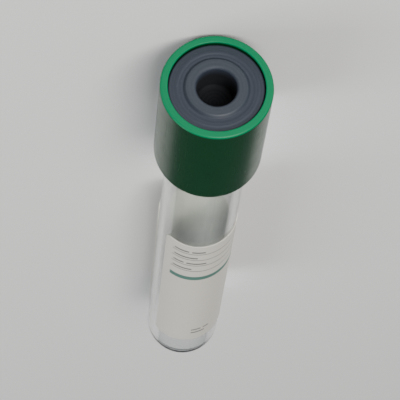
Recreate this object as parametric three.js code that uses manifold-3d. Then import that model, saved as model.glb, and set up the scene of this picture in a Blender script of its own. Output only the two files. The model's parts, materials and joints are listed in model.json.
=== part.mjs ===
// Evacuated blood collection tube with a push-on cap, lying on its side as it comes to rest.
//
// Every piece is turned about one axis. Along that axis, s is the distance from the outside of the
// round bottom: 0 at the bottom, growing towards the cap. The capped tube touches the ground at the
// lower edge of the cap's skirt and at the round bottom, so its axis leans a little, cap end up.
// Radii and diameters are measured to the flats of the turned facets, which touch the true circles.
// Frame: +Z up, the cap towards -Y, origin on the ground under the middle of the bounding box.
// Lengths are in millimetres.

import * as THREE from 'three';
import { mergeVertices } from 'three/addons/utils/BufferGeometryUtils.js';
import Module from 'manifold-3d';

// ---- glass tube ----
const TUBE_LENGTH = 100;
const TUBE_DIAMETER = 13;
const TUBE_WALL = 1;
const BOTTOM_WALL = 1.2;
const MOUTH_ROUNDING = 0.35; // the fire-polished rim

// ---- label ----
const LABEL_START = 13; // s of its lower edge
const LABEL_HEIGHT = 45;
const LABEL_THICKNESS = 0.1;
const LABEL_GLUE = 0.02; // gap to the glass

// ---- stopper ----
const HEAD_THICKNESS = 4.5;
const HEAD_OVERHANG = 1.05; // past the glass, all round
const HEAD_GAP = 0.15; // above the tube's mouth
const FACE_ROUNDING = 0.3;
const COLLAR_DIAMETER = 9.2; // the raised ring round the needle recess
const COLLAR_HEIGHT = 0.35;
const COLLAR_SLOPE = 0.3;
const RECESS_DIAMETER = 6.1;
const RECESS_DEPTH = 5.4;
const RECESS_TAPER = 0.12;
const RECESS_ROUNDING = 0.5;
const PLUG_LENGTH = 9;
const PLUG_CLEARANCE = 0.03; // between its sealing rings and the bore
const PLUG_WAIST = 0.2; // how far the plug's body lies inside its sealing rings
const PLUG_LEAD_IN = 1;
const SEALING_RINGS = 3;
const SEALING_RING_WIDTH = 1.2;
const HOLLOW_DIAMETER = 6.4; // in the plug's underside
const HOLLOW_TAPER = 0.4;
const DIAPHRAGM = 3.4; // rubber that the needle goes through

// ---- cap ----
const CAP_HEIGHT = 22;
const CAP_WALL = 1.3; // of the skirt
const SKIRT_GAP = 0.7; // between the skirt and the glass
const SKIRT_ROUNDING = 0.35;
const SKIRT_CHAMFER = 0.3;
const RIM_WIDTH = 1.2; // of the ring round the stopper's face
const RIM_HEIGHT = 0.25; // above the stopper's raised ring
const RIM_ROUNDING = 0.4;
const RIM_INNER_ROUNDING = 0.15;
const LIP_THICKNESS = 1.1; // over the edge of the stopper's head
const POCKET_CLEARANCE = 0.05; // round the stopper's head, and above and below it
const LEDGE_THICKNESS = 1.2; // under the edge of the stopper's head
const LEDGE_CLEARANCE = 0.25; // between the ledge and the glass
const RIB_COUNT = 8;
const RIB_WIDTH = 0.9;
const RIB_CLEARANCE = 0.15; // between each rib and the glass
const RIB_SETBACK = 2.5; // from the skirt's lower edge

// ---- facets ----
const SEGMENTS = 16; // a flat this wide keeps the lying tube from rolling on level ground
const STEP = (2 * Math.PI) / SEGMENTS;
const PHASE = STEP / 2; // a facet, not a corner, faces the ground
const CORNER = 1 / Math.cos(STEP / 2); // a corner's distance from the axis over its facet's
const BEND_STEPS = 3;
const BOTTOM_STEPS = 7;
const LABEL_FIRST_STEP = 5; // the facet that the label starts at, which turns its clear window
const LABEL_STEPS = 14; // the facets that it covers, leaving the window open

// ---- sizes that follow ----
const tubeRadius = TUBE_DIAMETER / 2;
const boreRadius = tubeRadius - TUBE_WALL;
const skirtBore = tubeRadius + SKIRT_GAP;
const capRadius = skirtBore + CAP_WALL;
const rimRadius = capRadius - RIM_WIDTH;
const headRadius = tubeRadius + HEAD_OVERHANG;
const headBottom = TUBE_LENGTH + HEAD_GAP;
const headTop = headBottom + HEAD_THICKNESS;
const collarTop = headTop + COLLAR_HEIGHT;
const capTop = collarTop + RIM_HEIGHT;
const capBottom = capTop - CAP_HEIGHT;
const lipBottom = capTop - LIP_THICKNESS;
const ledgeTop = headBottom - POCKET_CLEARANCE;
const ledgeBottom = ledgeTop - LEDGE_THICKNESS;

const point = (r, s) => new THREE.Vector2(r, s);

// Points on an arc about (r, s), from one angle to another in degrees, 0 pointing away from the axis.
function arc(r, s, radius, from, to, steps = BEND_STEPS) {
  return Array.from({ length: steps + 1 }, (_, i) => {
    const angle = THREE.MathUtils.degToRad(from + ((to - from) * i) / steps);
    return point(r + radius * Math.cos(angle), s + radius * Math.sin(angle));
  });
}

function turned(profile) {
  const corners = profile.map((p) => point(p.x * CORNER, p.y));
  return new THREE.LatheGeometry(corners, SEGMENTS, PHASE, 2 * Math.PI);
}

function named(name, geometry, color, roughness) {
  const mesh = new THREE.Mesh(geometry, new THREE.MeshStandardMaterial({ color, roughness, metalness: 0 }));
  mesh.name = name;
  return mesh;
}

// ---- glass tube: a cylinder closed by a round bottom, with a rounded rim at its mouth ----
function glassTube() {
  const rim = TUBE_LENGTH - MOUTH_ROUNDING;
  const profile = [
    ...arc(0, tubeRadius, tubeRadius, -90, 0, BOTTOM_STEPS),
    ...arc(tubeRadius - MOUTH_ROUNDING, rim, MOUTH_ROUNDING, 0, 90),
    ...arc(boreRadius + MOUTH_ROUNDING, rim, MOUTH_ROUNDING, 90, 180),
    ...arc(0, BOTTOM_WALL + boreRadius, boreRadius, 0, -90, BOTTOM_STEPS),
  ];
  return named('glass_tube', turned(profile), 0xe4eae8, 0.05);
}

// ---- label: part of a ring, on the same facets as the glass ----
function label() {
  const inner = tubeRadius + LABEL_GLUE;
  const outer = inner + LABEL_THICKNESS;
  const corner = (radius, step) => {
    const angle = PHASE + (LABEL_FIRST_STEP + step) * STEP;
    return point(radius * CORNER * Math.sin(angle), -radius * CORNER * Math.cos(angle));
  };
  const steps = Array.from({ length: LABEL_STEPS + 1 }, (_, i) => i);
  const outline = [
    ...steps.map((step) => corner(outer, step)),
    ...steps.reverse().map((step) => corner(inner, step)),
  ];
  const sheet = new THREE.ExtrudeGeometry(new THREE.Shape(outline), { depth: LABEL_HEIGHT, bevelEnabled: false });
  sheet.rotateX(-Math.PI / 2);
  sheet.translate(0, LABEL_START, 0);
  return named('label', sheet, 0xe9e9e4, 0.55);
}

// ---- stopper: hollow underside, plug with sealing rings, head, raised ring and needle recess ----
function sealingRing(middle, ringRadius, waistRadius) {
  const half = SEALING_RING_WIDTH / 2;
  const slope = ringRadius - waistRadius;
  return [
    point(waistRadius, middle - half),
    point(ringRadius, middle - half + slope),
    point(ringRadius, middle + half - slope),
    point(waistRadius, middle + half),
  ];
}

function plugOutside(plugEnd) {
  const ringRadius = boreRadius - PLUG_CLEARANCE;
  const waistRadius = ringRadius - PLUG_WAIST;
  const spacing = (PLUG_LENGTH - PLUG_LEAD_IN) / SEALING_RINGS;
  const outside = [
    point(waistRadius - PLUG_LEAD_IN / 2, plugEnd),
    point(waistRadius, plugEnd + PLUG_LEAD_IN),
  ];
  for (let ring = 0; ring < SEALING_RINGS; ring += 1) {
    const middle = plugEnd + PLUG_LEAD_IN + (ring + 0.5) * spacing;
    outside.push(...sealingRing(middle, ringRadius, waistRadius));
  }
  outside.push(point(waistRadius, headBottom));
  return outside;
}

function stopper() {
  const collarRadius = COLLAR_DIAMETER / 2;
  const recessRadius = RECESS_DIAMETER / 2;
  const recessBottom = collarTop - RECESS_DEPTH;
  const recessCorner = recessRadius - RECESS_TAPER - RECESS_ROUNDING;
  const hollowRadius = HOLLOW_DIAMETER / 2;
  const hollowTop = recessBottom - DIAPHRAGM;
  const faceRadius = rimRadius - POCKET_CLEARANCE;
  const shoulder = lipBottom - POCKET_CLEARANCE;
  const plugEnd = headBottom - PLUG_LENGTH;
  const profile = [
    point(0, hollowTop),
    point(hollowRadius - HOLLOW_TAPER, hollowTop),
    point(hollowRadius, plugEnd),
    ...plugOutside(plugEnd),
    point(headRadius, headBottom),
    point(headRadius, shoulder),
    point(faceRadius, shoulder),
    ...arc(faceRadius - FACE_ROUNDING, headTop - FACE_ROUNDING, FACE_ROUNDING, 0, 90),
    point(collarRadius + COLLAR_SLOPE, headTop),
    point(collarRadius, collarTop),
    ...arc(recessRadius + RECESS_ROUNDING, collarTop - RECESS_ROUNDING, RECESS_ROUNDING, 90, 180),
    ...arc(recessCorner, recessBottom + RECESS_ROUNDING, RECESS_ROUNDING, 0, -90),
    point(0, recessBottom),
  ];
  return named('stopper', turned(profile), 0x4b505c, 0.75);
}

// ---- cap: skirt, rim, lip and ledge turned as one, with ribs inside the skirt ----
function capShell() {
  const skirtMiddle = capBottom + SKIRT_ROUNDING;
  const ledgeRadius = tubeRadius + LEDGE_CLEARANCE;
  const pocketRadius = headRadius + POCKET_CLEARANCE;
  const profile = [
    point(skirtBore + SKIRT_CHAMFER, capBottom),
    ...arc(capRadius - SKIRT_ROUNDING, skirtMiddle, SKIRT_ROUNDING, -90, 0),
    ...arc(capRadius - RIM_ROUNDING, capTop - RIM_ROUNDING, RIM_ROUNDING, 0, 90),
    ...arc(rimRadius + RIM_INNER_ROUNDING, capTop - RIM_INNER_ROUNDING, RIM_INNER_ROUNDING, 90, 180, 2),
    point(rimRadius, lipBottom),
    point(pocketRadius, lipBottom),
    point(pocketRadius, ledgeTop),
    point(ledgeRadius, ledgeTop),
    point(ledgeRadius, ledgeBottom),
    point(skirtBore, ledgeBottom),
    point(skirtBore, capBottom + SKIRT_CHAMFER),
  ];
  return turned([...profile, profile[0].clone()]);
}

function capRib(index) {
  const innerFace = tubeRadius + RIB_CLEARANCE;
  const outerFace = skirtBore + CAP_WALL / 2;
  const bottom = capBottom + RIB_SETBACK;
  const top = ledgeBottom + LEDGE_THICKNESS / 2;
  const rib = new THREE.BoxGeometry(outerFace - innerFace, top - bottom, RIB_WIDTH);
  rib.translate((outerFace + innerFace) / 2, (top + bottom) / 2, 0);
  return rib.rotateY((index * 2 * Math.PI) / RIB_COUNT);
}

const wasm = await Module();
wasm.setup();

function solid(geometry) {
  const bare = geometry.clone();
  bare.deleteAttribute('normal');
  bare.deleteAttribute('uv');
  const merged = mergeVertices(bare);
  return new wasm.Manifold(new wasm.Mesh({
    numProp: 3,
    vertProperties: Float32Array.from(merged.attributes.position.array),
    triVerts: Uint32Array.from(merged.index.array),
  }));
}

function geometryOf(body) {
  const mesh = body.getMesh();
  const geometry = new THREE.BufferGeometry();
  geometry.setAttribute('position', new THREE.BufferAttribute(mesh.vertProperties, 3));
  geometry.setIndex(new THREE.BufferAttribute(mesh.triVerts, 1));
  geometry.computeVertexNormals();
  return geometry;
}

function cap() {
  let body = solid(capShell());
  for (let index = 0; index < RIB_COUNT; index += 1) {
    body = body.add(solid(capRib(index)));
  }
  return named('cap', geometryOf(body), 0x0f7a4d, 0.25);
}

// ---- how it lies: on the skirt's lower edge and on the round bottom ----
function lying(pieces) {
  const contactSpan = capBottom + SKIRT_ROUNDING - tubeRadius;
  const lean = Math.atan((capRadius - tubeRadius) / contactSpan);
  const tube = new THREE.Group();
  tube.add(...pieces);
  tube.rotation.x = Math.PI - lean;
  tube.updateMatrixWorld(true);
  const box = new THREE.Box3().setFromObject(tube, true);
  tube.position.set(0, -(box.min.y + box.max.y) / 2, -box.min.z);
  return tube;
}

const part = new THREE.Group();
part.add(lying([glassTube(), label(), stopper(), cap()]));
part.updateMatrixWorld(true);

export default part;
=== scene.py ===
# %% [markdown]
# # A blood collection tube, lying on a bench
# The real object is four pieces: a round-bottomed glass tube, a paper label wrapped round it, a grey
# rubber stopper pushed into its mouth, and a green plastic cap clipped over the stopper. The packed
# part gives the sizes and the place of each. It is faceted, because it was made for physics, so each
# of the four is modelled again here with a smooth surface, and every finish is built from nodes.

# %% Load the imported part
import json
import math

import bmesh
import bpy
from mathutils import Matrix, Vector


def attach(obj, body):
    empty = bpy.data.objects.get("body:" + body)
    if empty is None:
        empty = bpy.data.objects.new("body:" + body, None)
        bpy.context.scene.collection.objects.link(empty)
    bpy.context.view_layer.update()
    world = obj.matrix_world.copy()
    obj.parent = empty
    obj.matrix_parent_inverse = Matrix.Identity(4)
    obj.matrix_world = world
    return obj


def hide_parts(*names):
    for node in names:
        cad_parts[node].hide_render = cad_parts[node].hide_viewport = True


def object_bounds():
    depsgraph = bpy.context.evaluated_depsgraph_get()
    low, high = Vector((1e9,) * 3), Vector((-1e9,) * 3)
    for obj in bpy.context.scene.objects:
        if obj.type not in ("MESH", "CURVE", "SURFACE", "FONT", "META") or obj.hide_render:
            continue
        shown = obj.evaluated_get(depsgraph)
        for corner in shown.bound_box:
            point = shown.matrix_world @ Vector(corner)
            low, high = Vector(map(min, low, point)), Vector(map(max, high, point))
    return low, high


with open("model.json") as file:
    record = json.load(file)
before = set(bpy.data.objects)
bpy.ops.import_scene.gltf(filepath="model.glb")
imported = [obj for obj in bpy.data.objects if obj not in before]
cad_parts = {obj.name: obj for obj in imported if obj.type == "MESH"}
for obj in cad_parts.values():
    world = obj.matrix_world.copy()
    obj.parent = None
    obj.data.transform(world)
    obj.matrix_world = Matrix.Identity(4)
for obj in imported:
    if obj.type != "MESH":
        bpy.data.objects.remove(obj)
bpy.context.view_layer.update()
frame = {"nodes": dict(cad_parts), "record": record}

bpy.ops.object.select_all(action="DESELECT")
print("packed pieces:", sorted(frame["nodes"]))

# %% [markdown]
# ## Where the tube lies
# Turned pieces are easiest to model standing upright at the middle of the scene, in millimetres, and
# to lay down when they are finished. The record has a mount on the flat ring round the cap's face.
# Its axis points along the tube, and its place is level with the middle of the face, off to one side.
# That is enough for one matrix, which lays an upright piece in its place.

# %% The matrix that lays an upright piece down
MM = 0.001

rim_mount = frame["record"]["mounts"][0]
along = Vector(rim_mount["axis"]).normalized()
across = Vector((1, 0, 0))
upward = along.cross(across).normalized()
face_middle = Vector(rim_mount["pos_m"])
face_middle.x = 0

glass_points = [v.co for v in frame["nodes"]["glass_tube"].data.vertices]
whole_length = max((face_middle - point).dot(along) / MM for point in glass_points)
bottom_point = face_middle - along * whole_length * MM
turn = Matrix((across, upward, along)).transposed()
lay_down = Matrix.Translation(bottom_point) @ turn.to_4x4() @ Matrix.Scale(MM, 4)
stand_up = lay_down.inverted()
print(f"the whole is {whole_length:.2f} mm long and leans {math.degrees(math.asin(along.z)):.2f} degrees")

# %% [markdown]
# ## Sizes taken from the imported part
# A faceted piece touches the true circle with the middle of each facet, and its corners lie outside
# it. So the true radius is the largest distance of a corner times the cosine of half a facet. Heights
# need no such care. Every other size below is a detail of its piece, and is given in millimetres.

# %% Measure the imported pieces
FACETS = 16


def measure(node):
    """Lowest height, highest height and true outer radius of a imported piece, upright, in mm."""
    points = [stand_up @ v.co for v in frame["nodes"][node].data.vertices]
    radius = max(p.xy.length for p in points) * math.cos(math.pi / FACETS)
    return min(p.z for p in points), max(p.z for p in points), radius


glass_low, glass_high, glass_radius = measure("glass_tube")
label_low, label_high, label_radius = measure("label")
plug_low, face_high, head_radius = measure("stopper")
cap_low, cap_high, cap_radius = measure("cap")
for node in sorted(frame["nodes"]):
    print(node, "from {:.2f} to {:.2f} mm, radius {:.2f} mm".format(*measure(node)))

# %% [markdown]
# ## Turning a piece from its section
# The tube, the stopper and the cap are round, so a section and a spin make each of them, as on a
# lathe. The section is one line of corners in the XZ plane: X is the radius and Z the height. A
# corner may carry a rounding. The section could be drawn as a curve and given a Screw modifier, but a
# line of vertices that is extruded corner by corner, bevelled at its vertices and spun keeps every
# size in one list.
#
# Smooth shading blends the normals of the faces that meet at a corner. On a long straight face that
# blend would reach along the whole of it, and clear glass would then bend light the wrong way. So a
# straight gets a corner of its own just clear of each end, which holds the blend there.

# %% Helpers for editing a piece
NEAR = 1e-3


def choose(piece):
    """Select one piece alone, and make it the active one."""
    bpy.ops.object.select_all(action="DESELECT")
    piece.select_set(True)
    bpy.context.view_layer.objects.active = piece


def edit(piece):
    """Choose a piece, and go into edit mode on its vertices."""
    choose(piece)
    bpy.ops.object.mode_set(mode="EDIT")
    bpy.context.tool_settings.mesh_select_mode = (True, False, False)


def leave_edit():
    """Back to object mode, with nothing selected."""
    bpy.ops.object.mode_set(mode="OBJECT")
    bpy.ops.object.select_all(action="DESELECT")


def pick_vertices(wanted):
    """In edit mode, select only the vertices whose place passes the test."""
    bpy.ops.mesh.select_all(action="DESELECT")
    shape = bmesh.from_edit_mesh(bpy.context.object.data)
    for v in shape.verts:
        v.select = wanted(v.co)
    shape.select_flush(True)
    bmesh.update_edit_mesh(bpy.context.object.data)


def merge_and_face_out(distance=NEAR):
    """In edit mode, merge vertices that lie together, and turn every face outwards."""
    bpy.ops.mesh.select_all(action="SELECT")
    bpy.ops.mesh.remove_doubles(threshold=distance)
    bpy.ops.mesh.normals_make_consistent(inside=False)


print("vertices less than", NEAR, "mm apart are merged")

# %% Corners of a section
HOLD = 0.15
LEAST_SEGMENTS = 3
SEGMENTS_PER_MM = 4


def place_of(corner):
    """Where a corner is."""
    return Vector((corner[0], 0, corner[1]))


def rounding_of(corner):
    """A corner's third number, or no rounding."""
    return corner[2] if len(corner) == 3 else 0


def hold_straights(corners, closed):
    """The corners' places, with two more on each long straight, just clear of what rounds its ends."""
    held = [place_of(corners[0])]
    for here, there in zip(corners, corners[1:] + corners[:1] * closed):
        start, end = place_of(here), place_of(there)
        length = (end - start).length
        first, last = rounding_of(here) + HOLD, length - rounding_of(there) - HOLD
        if last - first > HOLD:
            held += [start.lerp(end, first / length), start.lerp(end, last / length)]
        held.append(end)
    return held


def round_corner(place, rounding):
    """In edit mode, turn one corner of a section into an arc."""
    pick_vertices(lambda co: (co - place).length < NEAR)
    segments = LEAST_SEGMENTS + round(SEGMENTS_PER_MM * rounding)
    bpy.ops.mesh.bevel(offset=rounding, offset_type="OFFSET", segments=segments,
                       affect="VERTICES", profile=0.5, clamp_overlap=False)


print("straights are held", HOLD, "mm from their ends")

# %% Draw a section, and spin it
STEPS_ROUND = 144


def draw_section(name, corners, closed=False):
    """A line of vertices through (radius, height, rounding) corners. The rounding may be left out."""
    places = hold_straights(corners, closed)
    bpy.ops.mesh.primitive_plane_add(size=1)
    piece = bpy.context.object
    piece.name = piece.data.name = name
    edit(piece)
    bpy.ops.mesh.select_all(action="SELECT")
    bpy.ops.mesh.merge(type="CENTER")
    bpy.ops.transform.translate(value=places[0])
    for here, there in zip(places, places[1:]):
        bpy.ops.mesh.extrude_vertices_move(TRANSFORM_OT_translate={"value": there - here})
    bpy.ops.mesh.select_all(action="SELECT")
    bpy.ops.mesh.remove_doubles(threshold=NEAR)
    for corner in corners:
        if rounding_of(corner):
            round_corner(place_of(corner), rounding_of(corner))
    bpy.ops.mesh.select_all(action="SELECT")
    bpy.ops.mesh.remove_doubles(threshold=NEAR)
    return piece


def spin_section():
    """In edit mode, turn the section once round Z and close it up."""
    bpy.ops.mesh.select_all(action="SELECT")
    bpy.ops.mesh.spin(steps=STEPS_ROUND, dupli=False, angle=math.tau, use_auto_merge=False,
                      center=(0, 0, 0), axis=(0, 0, 1))
    merge_and_face_out()


print("one step of a spin is", 360 / STEPS_ROUND, "degrees")

# %% [markdown]
# Two more helpers finish a piece. The first checks that its surface is closed and faces outwards: no
# open edges, and a positive volume.

# %% Check a piece, and lay it in its place
SHARP = math.radians(38)


def report(piece):
    """Print how a mesh came out, and stop if it is open or inside out."""
    shape = bmesh.new()
    shape.from_mesh(piece.data)
    loose = sum(not e.is_manifold for e in shape.edges)
    volume = shape.calc_volume(signed=True)
    shape.free()
    print(f"{piece.name}: {len(piece.data.polygons)} faces, {loose} open edges, {volume:.1f} mm3")
    if loose or volume < 0:
        raise ValueError(f"{piece.name} isn't a closed shape that faces outwards")


def place_piece(piece, body, slot, *nodes):
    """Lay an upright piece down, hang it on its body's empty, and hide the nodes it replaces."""
    report(piece)
    choose(piece)
    piece.matrix_world = lay_down
    bpy.ops.object.transform_apply(location=True, rotation=True, scale=True)
    bpy.ops.object.shade_smooth_by_angle(angle=SHARP)
    piece.select_set(False)
    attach(piece, body)
    if nodes:
        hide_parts(*nodes)


# %% [markdown]
# ## The glass tube
# A collection tube is drawn from a long cane of glass: the wall is even, the bottom is blown round
# and comes out a little thicker, and the mouth is softened in a flame. The section runs from the
# axis outside the bottom, up the wall, over the mouth, and back down the bore to the axis. The two
# corners at the bottom take a rounding as large as the radius there, which makes them half spheres.

# %% Turn the glass
GLASS_WALL = 1.0
BOTTOM_WALL = 1.2
MOUTH_ROUNDING = 0.45
bore_radius = glass_radius - GLASS_WALL

tube_glass = draw_section("tube_glass", [
    (0, glass_low),
    (glass_radius, glass_low, glass_radius),
    (glass_radius, glass_high, MOUTH_ROUNDING),
    (bore_radius, glass_high, MOUTH_ROUNDING),
    (bore_radius, glass_low + BOTTOM_WALL, bore_radius),
    (0, glass_low + BOTTOM_WALL),
])
spin_section()
leave_edit()
place_piece(tube_glass, "tube", "glass", "glass_tube")

# %% [markdown]
# ## The rubber stopper
# The stopper is one moulding. Below is the plug, with three soft rings that seal against the bore
# and a hollow that leaves a thin wall for the needle. Above is a wide head that rests on the mouth,
# and in its face is the recess that guides the needle. One section goes round it all, so it is
# written down in parts: the side of the plug first, then the face, then the whole.

# %% Work out the plug's sealing rings
HEAD_THICKNESS = 4.5
COLLAR_HEIGHT = 0.35
PLUG_CLEARANCE = 0.03
PLUG_WAIST = 0.2
PLUG_LEAD_IN = 1
SEALING_RINGS = 3
RING_HALF_WIDTH = 0.6
RING_ROUNDING = 0.12
PLUG_END_ROUNDING = 0.2

ring_radius = bore_radius - PLUG_CLEARANCE
waist_radius = ring_radius - PLUG_WAIST
collar_top = face_high
head_top = collar_top - COLLAR_HEIGHT
head_bottom = head_top - HEAD_THICKNESS
ring_spacing = (head_bottom - plug_low - PLUG_LEAD_IN) / SEALING_RINGS

plug_side = [
    (waist_radius - PLUG_LEAD_IN / 2, plug_low, PLUG_END_ROUNDING),
    (waist_radius, plug_low + PLUG_LEAD_IN),
]
for ring in range(SEALING_RINGS):
    middle = plug_low + PLUG_LEAD_IN + (ring + 0.5) * ring_spacing
    plug_side += [
        (waist_radius, middle - RING_HALF_WIDTH),
        (ring_radius, middle - RING_HALF_WIDTH + PLUG_WAIST, RING_ROUNDING),
        (ring_radius, middle + RING_HALF_WIDTH - PLUG_WAIST, RING_ROUNDING),
        (waist_radius, middle + RING_HALF_WIDTH),
    ]
print(f"{SEALING_RINGS} sealing rings, {ring_spacing:.2f} mm apart")

# %% [markdown]
# The face is what shows most. From the rim inwards it has a soft outer corner, a low ridge that its
# mould left on the flat, which catches the light, and a raised ring, the collar, round the recess.

# %% Work out the moulded face
RIM_WIDTH = 1.2
POCKET_CLEARANCE = 0.05
FACE_ROUNDING = 0.25
RIDGE_RADIUS = 6.0
RIDGE_HALF_WIDTH = 0.25
RIDGE_SLOPE = 0.1
RIDGE_HEIGHT = 0.06
COLLAR_RADIUS = 4.6
COLLAR_SLOPE = 0.4
FOOT_ROUNDING = 0.1
SOFT_CORNER = 0.15

rim_radius = cap_radius - RIM_WIDTH
face_radius = rim_radius - POCKET_CLEARANCE
face_flat = head_top - RIDGE_HEIGHT

moulded_face = [
    (face_radius, face_flat, FACE_ROUNDING),
    (RIDGE_RADIUS + RIDGE_HALF_WIDTH + RIDGE_SLOPE, face_flat),
    (RIDGE_RADIUS + RIDGE_HALF_WIDTH, head_top),
    (RIDGE_RADIUS - RIDGE_HALF_WIDTH, head_top),
    (RIDGE_RADIUS - RIDGE_HALF_WIDTH - RIDGE_SLOPE, face_flat),
    (COLLAR_RADIUS + COLLAR_SLOPE, face_flat, FOOT_ROUNDING),
    (COLLAR_RADIUS, collar_top, SOFT_CORNER),
]
print(f"the face is {2 * face_radius:.1f} mm across, with {len(moulded_face)} corners in its section")

# %% [markdown]
# The section starts on the axis inside the hollow, goes out under the plug, up its side and round the
# head, and comes back over the face into the recess. The head's shoulder tucks under the cap's lip.

# %% Turn the stopper
LIP_THICKNESS = 1.1
HEAD_ROUNDING = 0.2
RECESS_RADIUS = 3.05
RECESS_DEPTH = 5.4
RECESS_TAPER = 0.12
RECESS_LEAD_IN = 0.45
RECESS_ROUNDING = 0.5
DIAPHRAGM = 3.4
HOLLOW_RADIUS = 3.2
HOLLOW_TAPER = 0.4
HOLLOW_ROUNDING = 0.4

shoulder = cap_high - LIP_THICKNESS - POCKET_CLEARANCE
recess_bottom = collar_top - RECESS_DEPTH
hollow_top = recess_bottom - DIAPHRAGM

rubber_stopper = draw_section("rubber_stopper", [
    (0, hollow_top),
    (HOLLOW_RADIUS - HOLLOW_TAPER, hollow_top, HOLLOW_ROUNDING),
    (HOLLOW_RADIUS, plug_low, SOFT_CORNER),
    *plug_side,
    (waist_radius, head_bottom, SOFT_CORNER),
    (head_radius, head_bottom, HEAD_ROUNDING),
    (head_radius, shoulder, SOFT_CORNER),
    (face_radius, shoulder),
    *moulded_face,
    (RECESS_RADIUS, collar_top, RECESS_LEAD_IN),
    (RECESS_RADIUS - RECESS_TAPER, recess_bottom, RECESS_ROUNDING),
    (0, recess_bottom),
])
spin_section()
leave_edit()
place_piece(rubber_stopper, "closure", "stopper_rubber", "stopper")

# %% [markdown]
# ## The green cap
# The cap is a thin moulded skirt with a pocket at its top, where a lip above and a ledge below hold
# the stopper's head. Eight ribs inside the skirt keep it centred on the glass. The skirt, the pocket
# and the rim are one closed section, spun. It is turned half a step first, so that the ribs, each
# three columns of faces wide, come out centred on the axes.

# %% Turn the cap
CAP_WALL = 1.3
SKIRT_ROUNDING = 0.35
SKIRT_CHAMFER = 0.3
FINE_ROUNDING = 0.1
RIM_ROUNDING = 0.4
LEDGE_THICKNESS = 1.2
LEDGE_CLEARANCE = 0.25
RIB_SETBACK = 2.5
RIB_END_GAP = 0.25

skirt_bore = cap_radius - CAP_WALL
lip_bottom = cap_high - LIP_THICKNESS
pocket_radius = head_radius + POCKET_CLEARANCE
ledge_top = head_bottom - POCKET_CLEARANCE
ledge_bottom = ledge_top - LEDGE_THICKNESS
ledge_radius = glass_radius + LEDGE_CLEARANCE
rib_low, rib_high = cap_low + RIB_SETBACK, ledge_bottom - RIB_END_GAP

green_cap = draw_section("green_cap", [
    (skirt_bore + SKIRT_CHAMFER, cap_low, FINE_ROUNDING),
    (cap_radius, cap_low, SKIRT_ROUNDING),
    (cap_radius, cap_high, RIM_ROUNDING),
    (rim_radius, cap_high, SOFT_CORNER),
    (rim_radius, lip_bottom),
    (pocket_radius, lip_bottom),
    (pocket_radius, ledge_top),
    (ledge_radius, ledge_top, FINE_ROUNDING),
    (ledge_radius, ledge_bottom, FINE_ROUNDING),
    (skirt_bore, ledge_bottom),
    (skirt_bore, rib_high),
    (skirt_bore, rib_low),
    (skirt_bore, cap_low + SKIRT_CHAMFER, FINE_ROUNDING),
], closed=True)
bpy.ops.mesh.select_all(action="SELECT")
bpy.ops.transform.rotate(value=math.pi / STEPS_ROUND, orient_axis="Z", center_override=(0, 0, 0))
spin_section()

# %% [markdown]
# A rib is raised where it stands: its three columns of faces on the inside of the skirt are extruded
# on the spot, and the new faces are drawn in towards the axis. The further they go the narrower they
# get, so a rib is thickest at its root, as moulded ribs are.

# %% Raise the ribs inside the skirt
RIBS = 8
RIB_COLUMNS = 3
RIB_CLEARANCE = 0.15


def on_a_rib(middle):
    """Does the face with this middle lie on the skirt's inside, in one of the columns of a rib?"""
    turned = math.degrees(math.atan2(middle.y, middle.x)) % (360 / RIBS)
    off_axis = min(turned, 360 / RIBS - turned)
    half_rib = RIB_COLUMNS / 2 * 360 / STEPS_ROUND
    return (off_axis < half_rib and rib_low < middle.z < rib_high
            and abs(middle.xy.length - skirt_bore) < 10 * NEAR)


bpy.context.tool_settings.mesh_select_mode = (False, False, True)
bpy.ops.mesh.select_all(action="DESELECT")
shape = bmesh.from_edit_mesh(green_cap.data)
rib_faces = [face for face in shape.faces if on_a_rib(face.calc_center_median())]
for face in rib_faces:
    face.select_set(True)
bmesh.update_edit_mesh(green_cap.data)
print(len(rib_faces), "faces are raised into", RIBS, "ribs")
drawn_in = (glass_radius + RIB_CLEARANCE) / skirt_bore
bpy.ops.mesh.extrude_region_move()
bpy.ops.transform.resize(value=(drawn_in, drawn_in, 1), center_override=(0, 0, 0))
leave_edit()
place_piece(green_cap, "closure", "cap_plastic", "cap")

# %% [markdown]
# ## The paper label
# A label is a flat sheet that a machine wraps round the glass. It is modelled that way too: a plane
# of the right size, its corners rounded, cut into narrow columns and bent with a Simple Deform
# modifier. So the map that the plane was born with stays flat, and the print can be laid out on it in
# millimetres. It doesn't reach all the way round: a window is left to read the blood's level through.

# %% Cut the sheet
PAPER_THICKNESS = 0.1
LABEL_TURN = math.radians(315)
WINDOW_MIDDLE = math.radians(11.25)
CORNER_ROUNDING = 1.2
CORNER_SEGMENTS = 6

paper_radius = label_radius - PAPER_THICKNESS / 2
sheet_width = LABEL_TURN * paper_radius
sheet_height = label_high - label_low

bpy.ops.mesh.primitive_plane_add(size=1, rotation=(math.pi / 2, 0, 0))
paper_label = bpy.context.object
paper_label.name = paper_label.data.name = "paper_label"
paper_label.scale = (sheet_width, sheet_height, 1)
bpy.ops.object.transform_apply(location=True, rotation=True, scale=True)
edit(paper_label)
bpy.ops.mesh.select_all(action="SELECT")
bpy.ops.mesh.bevel(offset=CORNER_ROUNDING, offset_type="OFFSET", segments=CORNER_SEGMENTS,
                   affect="VERTICES")
leave_edit()
print(f"the sheet is {sheet_width:.1f} by {sheet_height:.1f} mm")

# %% [markdown]
# The scale's numbers are printed in ink that stands a hair above the paper. They start as text, become
# thin meshes, and are laid on the flat sheet, so that the same bend wraps sheet and numbers alike.
# Each number stands where the tube holds that many millilitres. The bore is a half sphere at the
# bottom and a cylinder above it, so the height follows from its volume.

# %% Work out the scale
MM3_IN_ML = 1000.0

half_sphere = 2 / 3 * math.pi * bore_radius ** 3
bore_area = math.pi * bore_radius ** 2


def sheet_height_of(millilitres):
    """How far above the sheet's lower edge the blood stands, in mm."""
    in_cylinder = millilitres * MM3_IN_ML - half_sphere
    level = glass_low + BOTTOM_WALL + bore_radius + in_cylinder / bore_area
    return level - label_low


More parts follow.
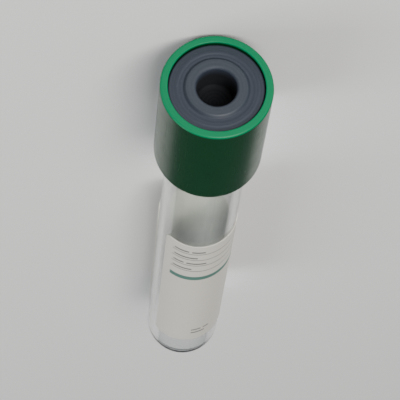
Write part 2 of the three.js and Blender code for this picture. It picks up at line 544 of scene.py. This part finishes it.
print(f"the round bottom holds {half_sphere / MM3_IN_ML:.2f} ml")

# %% Set the scale's numbers
NUMBERS = range(2, 6)
NUMBER_SIZE = 2.3
HALF_A_NUMBER = 0.36 * NUMBER_SIZE
NUMBER_INSET = 5.2
INK_DEPTH = 0.035
INK_SUNK = INK_DEPTH / 4

numerals = []
for number in NUMBERS:
    bpy.ops.object.text_add(rotation=(math.pi / 2, 0, 0), location=(
        sheet_width / 2 - NUMBER_INSET,
        -PAPER_THICKNESS / 2 - INK_SUNK,
        sheet_height_of(number) - sheet_height / 2 - HALF_A_NUMBER))
    numeral = bpy.context.object
    numeral.data.body = str(number)
    numeral.data.size = NUMBER_SIZE
    numeral.data.extrude = INK_DEPTH / 2
    numeral.data.resolution_u = 4
    bpy.ops.object.convert(target="MESH")
    numeral = bpy.context.object
    bpy.ops.object.transform_apply(location=True, rotation=True, scale=True)
    edit(numeral)
    merge_and_face_out(NEAR / 10)
    leave_edit()
    numerals.append(numeral)
    print(f"{number} ml is {sheet_height_of(number):.1f} mm up the sheet")

# %% [markdown]
# A flat face can't bend, so sheet and numbers are both cut into narrow columns first. The modifier
# bends a piece by an angle over its own width, so each piece gets the angle that its width takes up
# on the glass. The numbers are one piece by then, and each ends up where it was laid on the sheet.

# %% Cut the sheet and the numbers into columns, and bend them
COLUMNS = 126

for numeral in numerals:
    numeral.select_set(True)
bpy.context.view_layer.objects.active = numerals[0]
bpy.ops.object.join()
scale_numbers = numerals[0]
scale_numbers.name = scale_numbers.data.name = "scale_numbers"


def wrap(piece):
    """Cut a flat piece into columns, and bend it round the tube's axis."""
    edit(piece)
    for column in range(1, COLUMNS):
        bpy.ops.mesh.select_all(action="SELECT")
        cut = (column / COLUMNS - 0.5) * sheet_width
        bpy.ops.mesh.bisect(plane_co=(cut, 0, 0), plane_no=(1, 0, 0))
    leave_edit()
    left = min(v.co.x for v in piece.data.vertices)
    right = max(v.co.x for v in piece.data.vertices)
    bend = piece.modifiers.new("bend", "SIMPLE_DEFORM")
    bend.deform_method = "BEND"
    bend.deform_axis = "Z"
    bend.angle = (right - left) / paper_radius
    choose(piece)
    bpy.ops.object.modifier_apply(modifier=bend.name)
    edit(piece)
    bpy.ops.mesh.select_all(action="SELECT")
    bpy.ops.transform.translate(value=(0, -paper_radius, (label_low + label_high) / 2))
    bpy.ops.transform.rotate(value=math.pi / 2 - WINDOW_MIDDLE, orient_axis="Z",
                             center_override=(0, 0, 0))
    leave_edit()


wrap(paper_label)
wrap(scale_numbers)
for piece in (paper_label, scale_numbers):
    radii = [v.co.xy.length for v in piece.data.vertices]
    angles = sorted(math.degrees(math.atan2(v.co.y, v.co.x)) % 360 for v in piece.data.vertices)
    print(f"{piece.name}: radius {min(radii):.3f} to {max(radii):.3f} mm,",
          f"from {angles[0]:.1f} to {angles[-1]:.1f} degrees")

# %% [markdown]
# The sheet still has no thickness. A Solidify modifier gives it a tenth of a millimetre, half to each
# side, and closes the edge all round. Both pieces then go to their place on the tube.

# %% Give the paper its thickness, and place both pieces
thickness = paper_label.modifiers.new("paper", "SOLIDIFY")
thickness.thickness = PAPER_THICKNESS
thickness.offset = 0
choose(paper_label)
bpy.ops.object.modifier_apply(modifier=thickness.name)
edit(paper_label)
bpy.ops.mesh.select_all(action="SELECT")
bpy.ops.mesh.normals_make_consistent(inside=False)
leave_edit()
place_piece(paper_label, "tube", "label_paper", "label")
place_piece(scale_numbers, "tube", "label_paper")

# %% [markdown]
# ## Writing materials as sums
# A finish is worked out from where a point is on the piece. Node by node that is hard to read, so a
# small class wraps a node's output and lets sums be written as in Python: each + or * adds a Math
# node. Colours are mixed by a node of their own, because a Math node would turn them grey. One method
# makes every node, from its type, its settings and what goes into its sockets.

# %% A value in a material
class Value:
    """One output of a node. Sums with it become Math nodes."""

    def __init__(self, finish, socket):
        self.finish, self.socket = finish, socket

    def __add__(self, other):
        return maths("ADD", self, other)

    def __sub__(self, other):
        return maths("SUBTRACT", self, other)

    def __rsub__(self, other):
        return maths("SUBTRACT", other, self)

    def __mul__(self, other):
        return maths("MULTIPLY", self, other)

    def __gt__(self, other):
        return maths("GREATER_THAN", self, other)

    def __lt__(self, other):
        return maths("LESS_THAN", self, other)

    __radd__, __rmul__ = __add__, __mul__


def maths(operation, *terms):
    """A Math node on one or two terms, of which at least one is a value."""
    finish = next(term.finish for term in terms if isinstance(term, Value))
    return finish.node("ShaderNodeMath", {"operation": operation}, dict(enumerate(terms)))


print("sums are written with", Value.__name__)


# %% A material to build values in
class Finish:
    """A material on one Principled shader."""

    def __init__(self, name):
        self.material = bpy.data.materials.new(name)
        self.material.use_nodes = True
        self.tree = self.material.node_tree
        self.shader = self.tree.nodes["Principled BSDF"]

    def node(self, kind, settings=None, sockets=None, output=0):
        """Add a node: settings first, then numbers, colours or values for its sockets."""
        made = self.tree.nodes.new(kind)
        for key, setting in (settings or {}).items():
            setattr(made, key, setting)
        for key, value in (sockets or {}).items():
            self.feed(made.inputs[key], value)
        return Value(self, made.outputs[output])

    def feed(self, socket, value):
        """Link a value to a socket, or set the socket's own number or colour."""
        if isinstance(value, Value):
            self.tree.links.new(value.socket, socket)
        else:
            socket.default_value = value

    def mix(self, factor, first, second):
        """From the first colour to the second, by a factor from 0 to 1."""
        return self.node("ShaderNodeMix", {"data_type": "RGBA"}, {0: factor, 6: first, 7: second}, 2)

    def set(self, **sockets):
        """Set or link sockets of the shader, named with _ for a space."""
        for key, value in sockets.items():
            self.feed(self.shader.inputs[key.replace("_", " ")], value)

    def cover(self, piece):
        """Paint a piece with the finished material."""
        piece.data.materials.clear()
        piece.data.materials.append(self.material)


print("materials are built with", Finish.__name__)

# %% [markdown]
# Every finish below needs the same thing first: where the point is on the upright tube, in
# millimetres. A Mapping node undoes the laying down. From that come the height, the distance from
# the axis, and a noise of a given grain.

# %% Place, height, radius and noise
def upright_place(finish):
    """The place of a point on the upright tube, in mm."""
    place = finish.node("ShaderNodeTexCoord", output="Object")
    unturn = turn.transposed()
    return finish.node("ShaderNodeMapping", None, {
        "Vector": place,
        "Location": -(unturn @ bottom_point) / MM,
        "Rotation": unturn.to_euler(),
        "Scale": (1 / MM,) * 3,
    })


def parts_of(finish, place):
    """The X, Y and Z of a place."""
    node = finish.node("ShaderNodeSeparateXYZ", None, {0: place}).socket.node
    return [Value(finish, output) for output in node.outputs]


def radius_and_height(finish, place):
    """The distance from the axis, and the height, in mm."""
    x, y, z = parts_of(finish, place)
    return maths("SQRT", x * x + y * y), z


def noise(finish, place, grain, detail=3, roughness=0.5):
    """A cloudy pattern from 0 to 1, whose blots are about grain millimetres wide."""
    return finish.node("ShaderNodeTexNoise", {"noise_dimensions": "3D"}, {
        "Vector": place, "Scale": 1 / grain, "Detail": detail, "Roughness": roughness,
    }, "Fac")


def step_between(value, low, high):
    """0 below low, 1 above high, and a soft rise between them."""
    return value.finish.node("ShaderNodeMapRange", {"interpolation_type": "SMOOTHSTEP"}, {
        "Value": value, "From Min": low, "From Max": high})


def bump(finish, height, depth, strength):
    """A Normal from a height pattern of 0 to 1 that is depth millimetres deep."""
    return finish.node("ShaderNodeBump", None, {
        "Height": height, "Distance": depth * MM, "Strength": strength}, "Normal")


print("on the cap's face the height is", round(cap_high, 2), "mm")

# %% [markdown]
# ## Finishes
# **Glass.** Clear glass is a Principled shader that lets all light through. What makes it look real
# is that it isn't perfect: fingers leave faint smears outside, the additive that is sprayed and dried
# inside leaves a slight haze, the drawn wall has long shallow waves, and the mouth, where it was cut
# and softened in a flame, is rougher than the wall.

# %% Glass
GLASS_TINT = (0.97, 0.985, 0.98, 1)
MOUTH_HEIGHT = 1.0

glass = Finish("clear_glass")
place = upright_place(glass)
radius, height = radius_and_height(glass, place)
smears = step_between(noise(glass, place, 7, 4), 0.5, 0.75)
dried = step_between(noise(glass, place, 0.8, 4, 0.7), 0.45, 0.7)
inside = radius < (bore_radius + glass_radius) / 2
waves = noise(glass, place, 9, 2)
at_mouth = step_between(height, glass_high - MOUTH_HEIGHT, glass_high - 0.3 * MOUTH_HEIGHT)
glass.set(
    Base_Color=GLASS_TINT,
    Roughness=0.012 + 0.05 * smears + 0.07 * inside * dried + 0.4 * at_mouth,
    Transmission_Weight=1,
    IOR=1.5,
    Normal=bump(glass, waves, 0.05, 0.25),
)
print("glass reads", len(glass.tree.nodes), "nodes")

# %% [markdown]
# Real glass lets light through to the bench behind it. Bent light takes very many samples to render,
# and without them the shadow of glass comes out nearly black. So the rays that only ask what is in
# shadow meet a Transparent shader instead, a little darker than clear. The camera still sees the
# Principled one.

# %% Let light through the glass to its shadow
GLASS_SHADOW = (0.88, 0.9, 0.89, 1)

in_shadow_ray = glass.node("ShaderNodeLightPath", output="Is Shadow Ray")
let_through = glass.node("ShaderNodeBsdfTransparent", None, {"Color": GLASS_SHADOW})
clear = glass.node("ShaderNodeMixShader", None, {
    0: in_shadow_ray, 1: Value(glass, glass.shader.outputs[0]), 2: let_through})
glass.feed(glass.tree.nodes["Material Output"].inputs["Surface"], clear)
glass.cover(tube_glass)
print("shadow rays pass through", tube_glass.name)

# %% [markdown]
# ** Plastic.** The cap is a glossy polypropylene, coloured right through. Its mould was polished, so
# only a fine orange peel breaks the reflections, with hairline streaks along the skirt from the
# packing machine. The rim is painted a brighter green than the skirt, a painted highlight where light
# falls on it, and the skirt is painted a deeper green, a painted shade, which is a little mottled. The
# camera looks along the skirt, where any gloss is strong, and the pale bench would turn the green
# grey. A refractive index below the plastic's own keeps the green.

# %% Cap plastic
# Painted light: one green plastic, painted lighter on the rim as if lit and darker on the skirt as if in
# shade.
LIT_RIM_GREEN = (0.0, 0.165, 0.066, 1)
SHADED_SKIRT_GREEN = (0.0, 0.034, 0.009, 1)
MOTTLED_GREEN = (0.0, 0.018, 0.006, 1)
STREAK_SQUEEZE = 0.04

plastic = Finish("green_plastic")
place = upright_place(plastic)
x, y, height = parts_of(plastic, place)
# The rim, where the painted highlight and a rougher surface go.
lit_rim_mask = step_between(height, cap_high - 0.5, cap_high - 0.12)
mottle = noise(plastic, place, 2.5)
streak_place = plastic.node("ShaderNodeCombineXYZ", None, {0: x, 1: y, 2: height * STREAK_SQUEEZE})
streaks = step_between(noise(plastic, streak_place, 0.35, 2), 0.62, 0.75)
# Painted highlight on the rim, painted shade on the skirt.
colour = plastic.mix(lit_rim_mask, SHADED_SKIRT_GREEN, LIT_RIM_GREEN)
colour = plastic.mix(0.35 * mottle * (1 - lit_rim_mask), colour, MOTTLED_GREEN)
plastic.set(
    Base_Color=colour,
    Roughness=0.2 + 0.1 * mottle + 0.07 * streaks + 0.12 * lit_rim_mask,
    IOR=1.25,
    Normal=bump(plastic, noise(plastic, place, 0.6, 2), 0.006, 0.5),
)
plastic.cover(green_cap)
print("plastic reads", len(plastic.tree.nodes), "nodes")

# %% [markdown]
# ** Rubber.** Butyl rubber is a matt blue-grey. Its mould was turned on a lathe, so fine rings run
# round the face, about half a millimetre apart and wavering a little. The collar is painted paler:
# partly a pale bloom on the rubber, partly a painted highlight where the raised ring catches the
# light. Talc from the factory leaves pale specks. Down in the recess the rubber is painted nearly
# black, a painted shade where hardly any light comes back out, and it is made fully matt.

# %% Stopper rubber
RUBBER_DARK = (0.02, 0.026, 0.039, 1)
RUBBER_LIGHT = (0.032, 0.039, 0.055, 1)
# The collar's grey: partly bloom on the rubber, partly a painted highlight where the raised ring catches
# the light.
COLLAR_BLOOM_AND_SHEEN = (0.034, 0.042, 0.054, 1)
TALC_GREY = (0.17, 0.17, 0.19, 1)
# Painted shade: the recess is painted nearly black where little light reaches.
PAINTED_RECESS_SHADE = (0.003, 0.0035, 0.005, 1)
RING_RADIANS_PER_MM = 11

rubber = Finish("grey_rubber")
place = upright_place(rubber)
radius, height = radius_and_height(rubber, place)
wavering = radius + 0.12 * noise(rubber, place, 1.4, 2)
rings = 0.5 + 0.5 * maths("SINE", wavering * RING_RADIANS_PER_MM)
on_collar = step_between(radius, RECESS_RADIUS + 0.1, RECESS_RADIUS + 0.4) * (
    1 - step_between(radius, COLLAR_RADIUS - 0.1, COLLAR_RADIUS + 0.3))
# How deep a point is in the recess, for the painted shade.
deep = 1 - step_between(height, collar_top - 2.2, collar_top - 0.3)
recess_shade_mask = deep * (radius < RECESS_RADIUS + 0.2)
talc = step_between(noise(rubber, place, 0.22, 3, 0.6), 0.64, 0.74)
colour = rubber.mix(rings * 0.45, RUBBER_DARK, RUBBER_LIGHT)
# Paint the collar paler: bloom and painted highlight.
colour = rubber.mix(on_collar * 0.6, colour, COLLAR_BLOOM_AND_SHEEN)
colour = rubber.mix(talc * 0.3, colour, TALC_GREY)
# Painted shade down in the recess.
colour = rubber.mix(recess_shade_mask * 0.95, colour, PAINTED_RECESS_SHADE)
rubber.set(
    Base_Color=colour,
    Roughness=0.62 - 0.12 * rings + 0.15 * talc + 0.25 * recess_shade_mask,
    Specular_IOR_Level=0.35,
    Normal=bump(rubber, 0.5 * noise(rubber, place, 0.12, 2) + 0.5 * rings, 0.02, 0.6),
)
rubber.cover(rubber_stopper)
print("rubber reads", len(rubber.tree.nodes), "nodes")

# %% [markdown]
# **Paper.** The sheet has a thin sheen over off-white paper, which has aged unevenly. Its print is
# laid out in millimetres on the flat map: rules to write a name and a date on, each with short bars
# where the printed words would be, a green band under them, two lines of bars at the foot, and along
# the sheet's right edge the ticks of the scale, one each half millilitre. The same map is on the back
# of the sheet, so the print is kept to the outside by the radius.

# %% Helpers for print
def between(value, low, high):
    """1 where a value is between two limits, else 0."""
    return (value > low) * (value < high)


def printed_box(across_mm, up_mm, left, right, low, high):
    """1 inside a box on the sheet, which is measured in mm from its lower left corner."""
    return between(across_mm, left, right) * between(up_mm, low, high)


def either(*masks):
    """1 where any of the masks is."""
    total = masks[0]
    for mask in masks[1:]:
        total = maths("MAXIMUM", total, mask)
    return total


print("the print is laid out on", round(sheet_width, 1), "by", round(sheet_height, 1), "mm")

# %% Where the print goes on the sheet
PRINT_LEFT = 1.6
SCALE_WIDTH = 8
RULE = 0.22
RULE_DROPS = (3.2, 5.7, 8.2, 10.7)
BAND_DROP = 13.4
BAND_HEIGHT = 1.5
WORDS_LEFT = 2.0
WORD_HEIGHT = 0.5
WORD_GAP = 0.5
WORD_LINES = (((0, 2.6), (3.1, 5.4)), ((0, 4.2),), ((0, 1.9), (2.4, 5.8)), ((0, 3.4),))
FOOT_LEFT = 7.0
FOOT_LINES = ((4.6, ((0, 1.8), (2.2, 3.4))), (3.2, ((0, 2.6),)))
TICK_MARGIN = 1
SHORT_TICK = 1.2
LONG_TICK = 2
HALF_MILLILITRES = range(3, 11)

print_right = sheet_width - SCALE_WIDTH
words_up = [sheet_height - drop + WORD_GAP for drop in RULE_DROPS]
print("scale ticks from", HALF_MILLILITRES[0] / 2, "to", HALF_MILLILITRES[-1] / 2, "ml")

# %% Masks for the print
paper = Finish("coated_paper")
place = upright_place(paper)
radius = radius_and_height(paper, place)[0]
u, v = parts_of(paper, paper.node("ShaderNodeTexCoord", output="UV"))[:2]
across_mm, up_mm = u * sheet_width, v * sheet_height
outside = radius > label_radius - 0.3 * PAPER_THICKNESS

rules = either(*[
    printed_box(across_mm, up_mm, PRINT_LEFT, print_right,
                sheet_height - drop - RULE, sheet_height - drop)
    for drop in RULE_DROPS])
words = either(*[
    printed_box(across_mm, up_mm, WORDS_LEFT + start, WORDS_LEFT + end, low, low + WORD_HEIGHT)
    for low, line in zip(words_up, WORD_LINES) for start, end in line])
foot_words = either(*[
    printed_box(across_mm, up_mm, FOOT_LEFT + start, FOOT_LEFT + end, low, low + WORD_HEIGHT)
    for low, line in FOOT_LINES for start, end in line])
ticks = either(*[
    printed_box(across_mm, up_mm,
                sheet_width - TICK_MARGIN - (SHORT_TICK if half % 2 else LONG_TICK),
                sheet_width - TICK_MARGIN,
                sheet_height_of(half / 2) - RULE / 2, sheet_height_of(half / 2) + RULE / 2)
    for half in HALF_MILLILITRES])
band = printed_box(across_mm, up_mm, PRINT_LEFT, print_right,
                   sheet_height - BAND_DROP - BAND_HEIGHT, sheet_height - BAND_DROP) * outside
ink = either(rules, words, foot_words, ticks) * outside
print("the print reads", len(paper.tree.nodes), "nodes")

# %% [markdown]
# With the masks ready, the sheet is painted in layers, each over the last: fine fibres, broad patches
# where the paper has aged, the green band, and the ink.

# %% Label paper
PAPER_LIGHT = (0.68, 0.65, 0.58, 1)
PAPER_DARK = (0.55, 0.52, 0.46, 1)
PAPER_AGED = (0.56, 0.51, 0.42, 1)
BAND_GREEN = (0.012, 0.13, 0.1, 1)
PRINT_BLACK = (0.035, 0.04, 0.045, 1)

fibre = noise(paper, place, 0.5, 4, 0.65)
ageing = noise(paper, place, 12, 2)
colour = paper.mix(0.3 * fibre, PAPER_LIGHT, PAPER_DARK)
colour = paper.mix(0.35 * ageing, colour, PAPER_AGED)
colour = paper.mix(band * 0.9, colour, BAND_GREEN)
colour = paper.mix(ink * 0.85, colour, PRINT_BLACK)
paper.set(
    Base_Color=colour,
    Roughness=0.36 + 0.16 * fibre,
    Normal=bump(paper, fibre, 0.01, 0.4),
)
paper.cover(paper_label)
print("paper reads", len(paper.tree.nodes), "nodes")

# %% [markdown]
# **Ink.** The scale's numbers are a piece of their own, so they get a finish of their own: black ink
# that dried a little unevenly, and is about as matt as the paper.

# %% Ink of the numbers
INK_DARK = (0.02, 0.022, 0.026, 1)
INK_LIGHT = (0.06, 0.06, 0.06, 1)

black_ink = Finish("black_ink")
speckle = noise(black_ink, upright_place(black_ink), 0.2, 2)
black_ink.set(
    Base_Color=black_ink.mix(0.4 * speckle, INK_DARK, INK_LIGHT),
    Roughness=0.4 + 0.2 * speckle,
)
black_ink.cover(scale_numbers)
print("ink reads", len(black_ink.tree.nodes), "nodes")

# %% [markdown]
# ## Bench, light and camera
# The bench is a plain pale surface, and its top touches the lowest point of the tube. The bench and
# the lights are placed in metres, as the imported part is.

# %% The bench
BENCH_SIZE = 4
BENCH_PALE = (0.74, 0.735, 0.72, 1)

visual_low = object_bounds()[0].z
bpy.ops.mesh.primitive_plane_add(size=BENCH_SIZE, location=(0, 0, visual_low))
bench = bpy.context.object
bench.name = "bench"
bench_top = Finish("pale_bench")
bench_top.set(Base_Color=BENCH_PALE, Roughness=0.6)
bench_top.cover(bench)
print(f"the bench is at {visual_low / MM:.3f} mm")

# %% [markdown]
# A window-like light above the cap end does most of the work: it lights the cap's face and draws a
# long soft streak down the glass. A weaker one from the other side fills the shade. The sky is kept
# fairly dim, because glass shows its edges only where something darker stands behind them.

# %% Light
SUNNY = (1.0, 0.985, 0.96)
COOL = (0.94, 0.97, 1.0)
SKY_COLOUR = (0.86, 0.9, 0.95, 1)
SKY_STRENGTH = 0.2


def soft_light(name, place, size, power, colour):
    """A square area light that faces the middle of the tube. Its power is in watts."""
    bpy.ops.object.light_add(type="AREA", location=place)
    light = bpy.context.object
    light.name = name
    light.data.shape = "SQUARE"
    light.data.size = size
    light.data.energy = power
    light.data.color = colour
    light.rotation_euler = (-Vector(place)).to_track_quat("-Z", "Y").to_euler()
    light.select_set(False)


soft_light("window", place=(-0.2, -0.75, 0.6), size=0.5, power=14, colour=SUNNY)
soft_light("fill", place=(0.6, 0.1, 0.4), size=0.4, power=3, colour=COOL)

sky = bpy.data.worlds.new("dim_sky")
sky.use_nodes = True
background = sky.node_tree.nodes["Background"]
background.inputs["Color"].default_value = SKY_COLOUR
background.inputs["Strength"].default_value = SKY_STRENGTH
bpy.context.scene.world = sky

# %% [markdown]
# The camera looks down along the tube from beyond the cap, about 26 degrees off its axis, so that the
# face of the cap shows as a wide ellipse and the glass runs away below it. Seen so, the cap is at the
# top of the picture and the round bottom at its foot. The camera's place is given in millimetres from
# the middle of the cap's face, along the tube's own three axes, and so is the way up. It aims at a
# point on the axis a little nearer the cap than the middle. The lens is long, so the far end looks
# only a little smaller than it is.

# %% Camera
CAMERA_MM = Vector((30.4, 145.8, 300.1))
PICTURE_UP = Vector((-0.014, -0.759, 0.651))
LENS = 204
AIM_SHARE = 0.595
NEAREST_SEEN = 0.01

camera_place = face_middle + turn @ CAMERA_MM * MM
aim = lay_down @ Vector((0, 0, AIM_SHARE * whole_length))
look = (aim - camera_place).normalized()
up = turn @ PICTURE_UP
up = (up - look * up.dot(look)).normalized()
camera_turn = Matrix((look.cross(up), up, -look)).transposed()

bpy.ops.object.camera_add(location=camera_place)
camera = bpy.context.object
camera.rotation_euler = camera_turn.to_euler()
camera.data.lens = LENS
camera.data.clip_start = NEAREST_SEEN
bpy.context.scene.camera = camera
camera.select_set(False)
print("camera at", [round(c, 4) for c in camera_place])
